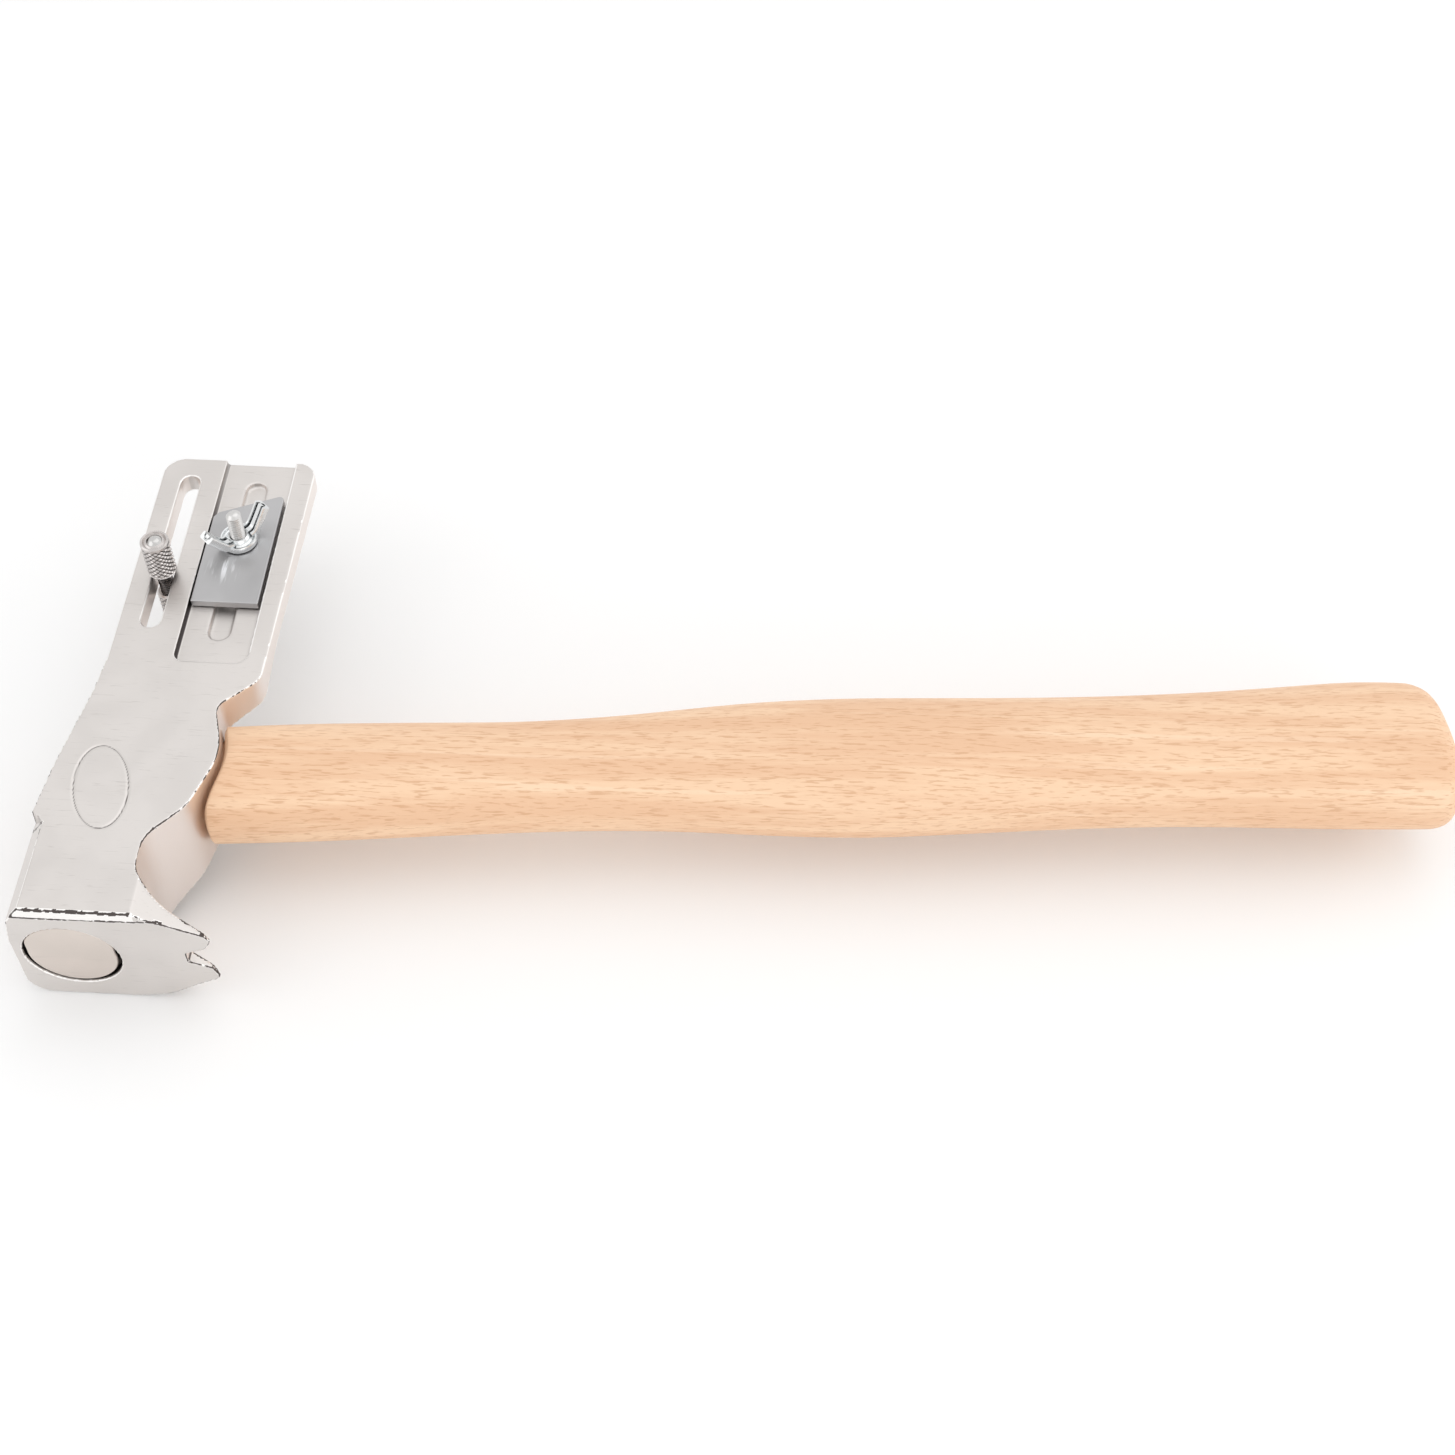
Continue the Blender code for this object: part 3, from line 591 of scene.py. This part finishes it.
def makeHandle():
    look = handleLook
    handleTree = nodeTree("handle")
    headTree = nodeTree("head")
    low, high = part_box("handle")
    axisZ = (low.z + high.z) / 2
    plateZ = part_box("head")[1].z - 2.5 * mm
    shape = bmesh.new()
    turnLayer = shape.verts.layers.int.new("turn")
    cutEndShade = shape.verts.layers.float.new("cutEndShade")        # 1 on the chamfered shoulder: darker end grain with painted shade
    sides = look["sides"]
    ring = bmesh.ops.create_circle(shape, cap_ends=False, segments=sides, radius=1.0)["verts"]
    for vert in ring:
        vert[turnLayer] = round(math.atan2(vert.co.y, vert.co.x) / fullTurn * sides) % sides

    def oval(vert, halfWidth, halfThickness, squareness):
        angle = fullTurn * vert[turnLayer] / sides
        power = 2 / squareness
        across = math.copysign(abs(math.cos(angle)) ** power, math.cos(angle)) * halfWidth
        upward = math.copysign(abs(math.sin(angle)) ** power, math.sin(angle)) * halfThickness
        return across, upward

    def wallX(y):
        hit = headTree.ray_cast(Vector((0.06, y, plateZ)), Vector((-1, 0, 0)))[0]
        return max(hit.x, (look["shoulderLimit"] - look["gap"]) * mm)

    def nextRing(verts):
        edges = {edge for vert in verts for edge in vert.link_edges if edge.is_boundary or edge.is_wire}
        grown = bmesh.ops.extrude_edge_only(shape, edges=list(edges))["geom"]
        return [item for item in grown if isinstance(item, bmesh.types.BMVert)]

    startX = 31 * mm
    middle, halfWidth, halfThickness = measureHandle(handleTree, startX, axisZ)
    eyeSlope = math.tan(look["tilt"])
    tenonWidth, tenonHeight = look["tenon"]
    endX = low.x + 0.7 * mm

    def placeTenon(verts, x):
        centreY = middle + (x - startX) * eyeSlope
        for vert in verts:
            across, upward = oval(vert, tenonWidth * mm, tenonHeight * mm, 4.5)
            vert.co = (x - across * eyeSlope, centreY + across, axisZ + upward)

    placeTenon(ring, endX)
    bmesh.ops.holes_fill(shape, edges=shape.edges[:], sides=0)
    ring = nextRing(ring)
    placeTenon(ring, endX + 1.0 * mm)
    ring = nextRing(ring)
    placeTenon(ring, 24 * mm)
    chamfer, drop = look["chamfer"], look["drop"]
    shoulders = ((0.78 - drop, 0.0, 1.0), (1.0 - drop - 0.03, 0.0, 1.0), (1.0 - drop, 0.25, 1.0),
                 (1.0 - drop * 0.5, chamfer * 0.5, 1.0), (0.995, chamfer - 0.2, 1.0), (1.0, chamfer, 0.3),
                 (1.0, chamfer + 0.35, 0.0))
    for share, back, tone in shoulders:
        ring = nextRing(ring)
        for vert in ring:
            vert[cutEndShade] = tone
            across, upward = oval(vert, halfWidth * share, halfThickness * share, look["squareness"])
            y = middle + across - (startX - 28 * mm) * eyeSlope
            vert.co = (wallX(y) + (look["gap"] + back) * mm, y, axisZ + upward)

    lastX = high.x - 9 * mm
    count = look["stations"]
    for index in range(count):
        x = startX + 6 * mm + (lastX - startX - 6 * mm) * index / (count - 1)
        ring = nextRing(ring)
        for vert in ring:
            vert[cutEndShade] = 0.0
        middle, halfWidth, halfThickness = measureHandle(handleTree, x, axisZ)
        lean = look["tilt"] + (look["buttTilt"] - look["tilt"]) * max(0.0, (x - lastX + 30 * mm) / (30 * mm))
        for vert in ring:
            across, upward = oval(vert, halfWidth, halfThickness, look["squareness"])
            vert.co = (x - across * math.tan(lean), middle + across, axisZ + upward)

    lean = math.tan(look["buttTilt"])
    buttX = high.x - halfWidth * 0.80 * lean - 0.2 * mm
    for share, back in ((0.995, 5.0), (0.955, 2.3), (0.88, 0.7), (0.78, 0.15), (0.40, 0.0), (0.12, 0.0)):
        ring = nextRing(ring)
        for vert in ring:
            across, upward = oval(vert, halfWidth * share, halfThickness * share, look["squareness"])
            vert.co = (buttX - back * mm - across * lean, middle + across, axisZ + upward)
    bmesh.ops.holes_fill(shape, edges=[edge for edge in shape.edges if edge.is_boundary], sides=0)
    return finishPiece("beechHandle", shape, handleMaterial(), "tool", "handle", sharpAngle=50,
                       levels=1)


def handleMaterial():
    material, tree, shader = newMaterial("beech", Roughness=0.5, Specular_IOR_Level=0.4)
    vector = objectCoords(tree, turn=(0, 0, math.radians(-1.5)))
    made = useGroup(tree, woodGrain, {
        "Vector": vector, "Light": (0.865, 0.600, 0.400, 1), "Dark": (0.79, 0.505, 0.320, 1),
        "Fleck": (0.60, 0.33, 0.175, 1), "Fleck Amount": 0.58})
    # The shoulder is darkened as end grain together with painted shade
    cutEndShade = add(tree, "Attribute", attribute_name="cutEndShade").outputs["Fac"]
    colour = mixColour(tree, cutEndShade, made["Color"], (0.72, 0.47, 0.30))
    tree.links.new(colour, shader.inputs["Base Color"])
    addBump(tree, shader, made["Height"], 0.35, 0.06 * mm)
    return material


# Wedges in the end of the handle
def makeWedges():
    wood, tree, shader = newMaterial("wedgeWood", Roughness=0.65)
    made = useGroup(tree, woodGrain, {
        "Vector": objectCoords(tree, turn=(0, 0, 0.2)), "Light": (0.52, 0.33, 0.19, 1),
        "Dark": (0.34, 0.20, 0.11, 1), "Fleck": (0.16, 0.09, 0.05, 1), "Fleck Amount": 0.6})
    tree.links.new(made["Color"], shader.inputs["Base Color"])
    addBump(tree, shader, made["Height"], 0.5, 0.1 * mm)
    shape = mergedCopy("wooden_wedge")
    bevelSharp(shape, 0.12 * mm)
    finishPiece("woodenWedge", shape, wood, "tool", "wooden_wedge")
    for number in (1, 2):
        node = "steel_wedge_%d" % number
        shape = mergedCopy(node)
        bevelSharp(shape, 0.15 * mm)
        finishPiece("steelWedge%d" % number, shape, plainSteel, "tool", node)


# Blade
bladeLook = {"rim": 0.28, "segments": 3, "clear": 4, "rubPlace": (0.0183, 0.1075, 0.0199), "rubReach": 0.0065}


def makeBlade():
    shape = mergedCopy("blade")
    middle = centreOf("blade_bolt")
    clear = bladeLook["clear"] * mm        # the bolt's slot keeps its sharp rim
    rim = []
    for edge in shape.edges:
        away = min((vert.co.xy - middle.xy).length for vert in edge.verts)
        if edge.calc_face_angle(0) > math.radians(60) and away > clear:
            rim.append(edge)
    bevelEdges(shape, rim, bladeLook["rim"] * mm, bladeLook["segments"])
    material, tree, shader, base = metalMaterial(
        "toolSteel", ((0.465, 0.46, 0.465), (0.53, 0.525, 0.53)), (0.80, 0.80, 0.82), 0.0, (0.30, 0.44), 0.2)
    rub = noiseOf(tree, objectCoords(tree, scale=(1.0, 0.10, 1.0), turn=(0, 0, 0.12)), 900.0, 3.0, 0.6)
    here = add(tree, "TexCoord").outputs["Object"]
    spot = add(tree, "VectorMath", {0: here, 1: bladeLook["rubPlace"]}, operation="DISTANCE").outputs["Value"]
    near = step(tree, spot, bladeLook["rubReach"], 0.0)
    marks = mathNode(tree, "MULTIPLY", step(tree, rub, 0.50, 0.62), near)
    tree.links.new(mixColour(tree, marks, base, (0.86, 0.86, 0.88)), shader.inputs["Base Color"])
    return finishPiece("cuttingBlade", shape, material, "blade_carriage", "blade",
                       sharpAngle=12)


# Bolt and stud with real threads
threadLook = {"pitch": 0.7, "depth": 0.42, "around": 24, "crown": 0.7,
              "section": ((0.0, 0.0), (0.16, 0.0), (0.5, 1.0), (0.64, 1.0))}      # share of the pitch, inset


def threadedRod(shape, centre, radius, low, high):        # a thread between two heights, rounded on top
    pitch = threadLook["pitch"] * mm
    around = threadLook["around"]
    count = math.ceil((high - low) / pitch) + 3
    points = []
    for index in range(count):
        for share, inset in threadLook["section"]:
            z = low + (index + share - 2) * pitch
            reach = radius - inset * threadLook["depth"] * mm
            points.append(shape.verts.new((centre.x + reach, centre.y, z)))
    edges = [shape.edges.new(pair) for pair in zip(points[:-1], points[1:])]
    bmesh.ops.spin(shape, geom=points + edges, cent=(centre.x, centre.y, 0), axis=(0, 0, 1),
                   dvec=(0, 0, pitch / around), angle=fullTurn, steps=around)
    bmesh.ops.remove_doubles(shape, verts=shape.verts, dist=mergeDistance)
    crown = high - threadLook["crown"] * mm
    for z, up in ((low, -1), (crown, 1)):
        geometry = shape.verts[:] + shape.edges[:] + shape.faces[:]
        bmesh.ops.bisect_plane(shape, geom=geometry, dist=1e-7, plane_co=(0, 0, z), plane_no=(0, 0, up),
                               clear_outer=True)
    rims = [edge for edge in shape.edges if edge.is_boundary]
    bmesh.ops.holes_fill(shape, edges=rims, sides=0)
    cap = max(shape.faces, key=lambda face: (round(face.calc_center_median().z, 6), face.calc_area()))
    for inset, rise in ((0.35, 0.4), (0.6, 0.3)):
        bmesh.ops.inset_region(shape, faces=[cap], thickness=inset * mm, use_even_offset=True)
        bmesh.ops.translate(shape, verts=cap.verts[:], vec=(0, 0, rise * mm))


boltLook = {"radius": 1.98, "head": 2.1, "rim": 0.45}


def makeBolt():
    low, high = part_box("blade_bolt")
    centre = (low + high) / 2
    half = (high.x - low.x) / 2
    headTop = low.z + boltLook["head"] * mm
    shape = bmesh.new()
    threadedRod(shape, centre, boltLook["radius"] * mm, headTop - 0.5 * mm, high.z)
    block = bmesh.ops.create_cube(shape, size=1.0)["verts"]
    bmesh.ops.scale(shape, verts=block, vec=(2 * half, 2 * half, headTop - low.z))
    bmesh.ops.translate(shape, verts=block, vec=(centre.x, centre.y, (low.z + headTop) / 2))
    edges = list({edge for vert in block for edge in vert.link_edges})
    bevelEdges(shape, edges, boltLook["rim"] * mm, 3)
    return finishPiece("bladeBolt", shape, plainSteel, "blade_carriage", "blade_bolt")


def makeStud():
    low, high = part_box("gauge_stud")
    shape = bmesh.new()
    threadedRod(shape, (low + high) / 2, (high.x - low.x) / 2, low.z, high.z)
    valley = shape.verts.layers.float.new("valley")        # painted shade below the nut
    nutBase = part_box("gauge_thumb_nut")[0].z
    for vert in shape.verts:
        vert[valley] = 1.0 if vert.co.z < nutBase + 1 * mm else 0.0
    return finishPiece("gaugeStud", shape, plainSteel, "gauge", "gauge_stud")


# Knurled thumb nut and gauge pin
knurlLook = {"starts": 14, "pinStarts": 12, "depth": 0.42, "perStart": 8, "diamond": 1.4, "cross": 0.7,
             "groove": (0.4, 0.5), "fade": 0.3}


# profile is two lists of (radius, height) pairs; the stretch between them gets a diamond knurl.
def knurledPiece(name, node, body, profile, knurlLow, knurlHigh, radius, starts):
    centre = centreOf(node)
    centre.z = 0
    shape = bmesh.new()
    steps = starts * knurlLook["perStart"]
    start, span = knurlLook["groove"]
    rise = knurlLook["diamond"] / knurlLook["perStart"]
    rows = max(2, round((knurlHigh - knurlLow) / rise))
    column = [(radius, knurlHigh - (knurlHigh - knurlLow) * row / rows) for row in range(rows + 1)]
    spinProfile(shape, profile[0] + column + profile[1], centre, Vector((0, 0, 1)), Vector((1, 0, 0)), steps)
    # valley paints shade in the knurl grooves and on the cone below the knurl
    valley = shape.verts.layers.float.new("valley")
    for vert in shape.verts:
        arm = vert.co.xy - centre.xy
        height = vert.co.z / mm
        if arm.length < (radius - 0.01) * mm or not knurlLow - 0.01 < height < knurlHigh + 0.01:
            vert[valley] = 0.8 if height < knurlLow else 0.0
            continue
        around = math.atan2(arm.y, arm.x) / fullTurn * starts
        along = (height - knurlLow) / (rise * knurlLook["perStart"])
        waves = [abs(2 * ((around + sign * along) % 1.0) - 1) for sign in (1, -1)]
        grooves = [min(1.0, max(0.0, wave - start) / span) for wave in waves]
        fade = min(1.0, (height - knurlLow) / knurlLook["fade"], (knurlHigh - height) / knurlLook["fade"])
        share = max(grooves[0], grooves[1] * knurlLook["cross"]) * max(0.0, fade)
        vert[valley] = share
        vert.co.xy = centre.xy + arm * (1 - knurlLook["depth"] * share * mm / arm.length)
    return finishPiece(name, shape, knurledSteel, body, node, sharpAngle=25)


def makeGauge():
    low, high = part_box("gauge_thumb_nut")
    bottom, top = low.z / mm, high.z / mm
    radius = (high.x - low.x) / 2 / mm
    bore = 2.04
    upper = [(bore, top - 0.02), (bore + 0.3, top - 0.06), (bore + 0.65, top - 0.3),
             (bore + 0.80, top - 0.42), (radius - 0.80, top - 0.30), (radius - 0.68, top - 0.03),
             (radius - 0.60, top), (radius - 0.36, top), (radius - 0.08, top - 0.25)]
    lower = [(radius - 0.25, bottom + 1.25), (2.75, bottom), (bore, bottom)]
    knurledPiece("gaugeThumbNut", "gauge_thumb_nut", "thumb_nut", (upper, lower), bottom + 1.6, top - 0.75,
                 radius, knurlLook["starts"])
    low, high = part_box("gauge_pin")
    bottom, top = low.z / mm, high.z / mm
    radius = (high.x - low.x) / 2 / mm
    upper = [(0, bottom + 1.2), (bore, bottom + 1.2), (bore, top), (radius - 0.5, top),
             (radius - 0.05, top - 0.45)]
    lower = [(radius - 0.3, bottom + 0.35), (radius - 0.9, bottom), (0, bottom)]
    knurledPiece("gaugePin", "gauge_pin", "gauge", (upper, lower), bottom + 0.8, top - 0.6, radius,
                 knurlLook["pinStarts"])


# Wing nut
wingLook = {"angle": math.radians(46.0), "dimples": ((-95.0, 3.7), (8.0, 3.7)), "dimpleHeight": 1.25,
            "socketDrop": 0.35}


def makeWingNut():
    low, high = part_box("wing_nut")
    centre = centreOf("blade_bolt")
    centre.z = 0
    base = low.z / mm
    shape = bmesh.new()
    valley = shape.verts.layers.float.new("valley")        # 1 in the folds, pits and sockets, where it gets painted shade
    hub = [(2.08, 2.3), (2.45, 2.6), (2.8, 2.3), (3.1, 1.4), (3.6, 1.15), (4.05, 1.3), (4.35, 1.75),
           (4.7, 1.8), (4.9, 1.4), (4.85, 0.4), (4.75, 0.1), (4.5, 0), (2.08, 0)]
    profile = [(radius, base + height) for radius, height in hub]
    spinProfile(shape, profile, centre, Vector((0, 0, 1)), Vector((1, 0, 0)), 48)
    for azimuth, reach in wingLook["dimples"]:
        turn = math.radians(azimuth)
        height = base + wingLook["dimpleHeight"]
        spot = centre + Vector((math.cos(turn) * reach, math.sin(turn) * reach, height)) * mm
        first = min(shape.faces, key=lambda item: (item.calc_center_median() - spot).length)
        middle = first.calc_center_median()
        faces = sorted(shape.faces, key=lambda item: (item.calc_center_median() - middle).length)[:2]
        bmesh.ops.inset_region(shape, faces=faces, thickness=0.08 * mm, use_even_offset=True)
        pit = {vert for item in faces for vert in item.verts}
        for vert in pit:
            vert[valley] = 1.0
        bmesh.ops.translate(shape, verts=list(pit), vec=(0, 0, -0.5 * mm))
    path = [(2.7, 1.3, 0, 1.15), (3.9, 1.4, 12, 1.1), (4.9, 2.0, 40, 1.05), (5.6, 2.9, 54, 1.0),
            (6.8, 4.6, 57, 1.0), (8.0, 6.4, 57, 1.0), (8.8, 7.6, 57, 1.0)]
    section = [(-2.05, -0.7, 0), (-1.8, -1.05, 0), (1.8, -1.05, 0), (2.05, -0.7, 0), (2.05, 0.75, 0),
               (1.9, 1.05, 0), (1.35, 1.05, 0), (1.2, 0.2, 1), (0.75, 0.2, 1), (0.6, 0.85, 0),
               (-0.6, 0.85, 0), (-0.75, 0.2, 1), (-1.2, 0.2, 1), (-1.35, 1.05, 0), (-1.9, 1.05, 0),
               (-2.05, 0.75, 0)]
    for turn in (wingLook["angle"], wingLook["angle"] + math.pi):
        place = Matrix.Translation(centre) @ Matrix.Rotation(turn, 4, "Z")
        ring = None
        for radial, height, slope, wide in path:
            tilt = Matrix.Rotation(-math.radians(slope), 4, "Y")
            here = place @ Matrix.Translation((radial * mm, 0, (base + height) * mm)) @ tilt
            corners = []
            for across, up, deep in section:
                corners.append(shape.verts.new(here @ Vector((0, across * wide * mm, up * mm))))
                corners[-1][valley] = deep
            fresh = [shape.edges.new(pair) for pair in zip(corners, corners[1:] + corners[:1])]
            if ring:
                bmesh.ops.bridge_loops(shape, edges=ring + fresh)
            else:
                shape.faces.new(corners)
            ring = fresh
        lean = math.radians(path[-1][2])
        inward = place.to_3x3() @ Vector((-math.cos(lean), 0, -math.sin(lean)))
        socket = ((0.0, 0.75, 0.42, 0), (0.25, 0.7, 0.38, 1), (1.4, 0.6, 0.3, 1))
        for depth, halfAcross, halfUp, deep in socket:
            corners = []
            for index in range(12):
                angle = fullTurn * index / 12
                up = math.sin(angle) * halfUp - wingLook["socketDrop"]
                corner = here @ Vector((0, math.cos(angle) * halfAcross * mm, up * mm))
                corners.append(shape.verts.new(corner + inward * depth * mm))
                corners[-1][valley] = deep
            fresh = [shape.edges.new(pair) for pair in zip(corners, corners[1:] + corners[:1])]
            bmesh.ops.bridge_loops(shape, edges=ring + fresh)
            ring = fresh
        shape.faces.new(corners)
    return finishPiece("wingNut", shape, zinc, "wing_nut", "wing_nut", sharpAngle=40)


# Room: a pale floor, a soft white world and four soft lamps
def makeRoom():
    low, high = cadBox
    floorShape = bmesh.new()
    bmesh.ops.create_grid(floorShape, x_segments=1, y_segments=1, size=6.0)
    bmesh.ops.translate(floorShape, verts=floorShape.verts, vec=(0, 0, low.z - 0.3 * mm))
    mesh = bpy.data.meshes.new("floor")
    floorShape.to_mesh(mesh)
    floorShape.free()
    material, tree, shader = newMaterial("paleFloor", Base_Color=(0.92, 0.92, 0.92, 1), Roughness=0.9)
    mesh.materials.append(material)
    floor = bpy.data.objects.new("floor", mesh)
    scene.collection.objects.link(floor)

    world = bpy.data.worlds.new("studio")
    scene.world = world
    world.use_nodes = True
    world.node_tree.nodes["Background"].inputs["Color"].default_value = (1.0, 1.0, 1.0, 1.0)
    world.node_tree.nodes["Background"].inputs["Strength"].default_value = 0.93

    middle = (low + high) / 2
    lights = {"top": ((0.10, 0.25, 0.9), 0.9, 1.2), "left": ((-0.8, -0.2, 0.5), 0.6, 0.7),
              "front": ((0.45, -1.0, 0.25), 0.8, 2.4), "right": ((0.95, 0.25, 0.30), 0.6, 1.5)}
    for name, (offset, size, power) in lights.items():
        data = bpy.data.lights.new(name, "AREA")
        data.shape = "SQUARE"
        data.size = size
        data.energy = power
        lamp = bpy.data.objects.new(name, data)
        lamp.location = middle + Vector(offset)
        lamp.rotation_euler = (middle - lamp.location).to_track_quat("-Z", "Y").to_euler()
        scene.collection.objects.link(lamp)


camLook = {"place": (0.1690, -0.2593, 0.4372), "elevation": 52.29, "yaw": 2.81, "roll": 0.52, "lens": 52.75}


def makeCamera():
    data = bpy.data.cameras.new("camera")
    data.lens = camLook["lens"]
    data.sensor_width = 36.0
    data.clip_start = 0.01
    camera = bpy.data.objects.new("camera", data)
    turn = (Matrix.Rotation(math.radians(camLook["yaw"]), 4, "Z")
            @ Matrix.Rotation(math.radians(90 - camLook["elevation"]), 4, "X")
            @ Matrix.Rotation(math.radians(camLook["roll"]), 4, "Z"))
    camera.matrix_world = Matrix.Translation(camLook["place"]) @ turn
    scene.collection.objects.link(camera)
    scene.camera = camera


# The valley colours below are painted shade
plainSteel = metalMaterial("plainSteel", ((0.62, 0.61, 0.60), (0.70, 0.69, 0.68)), (0.85, 0.85, 0.85), 0.2,
                           (0.22, 0.36), 0.1, valley=(0.3, (0.16, 0.145, 0.14)))[0]
knurledSteel = metalMaterial("knurledSteel", ((0.62, 0.585, 0.57), (0.70, 0.665, 0.64)), (0.8, 0.8, 0.8), 0.1,
                             (0.24, 0.36), 0.1, valley=(0.15, (0.05, 0.04, 0.04)))[0]
zinc = metalMaterial("brightZinc", ((0.74, 0.76, 0.77), (0.84, 0.85, 0.85)), (0.55, 0.57, 0.59), 0.35,
                     (0.20, 0.32), 0.2, valley=(0.25, (0.13, 0.14, 0.15)))[0]

scene.view_settings.view_transform = "Standard"
makeCamera()
makeRoom()
makeHead()
makeInsert()
makeHandle()
makeWedges()
makeBlade()
makeBolt()
makeStud()
makeGauge()
makeWingNut()
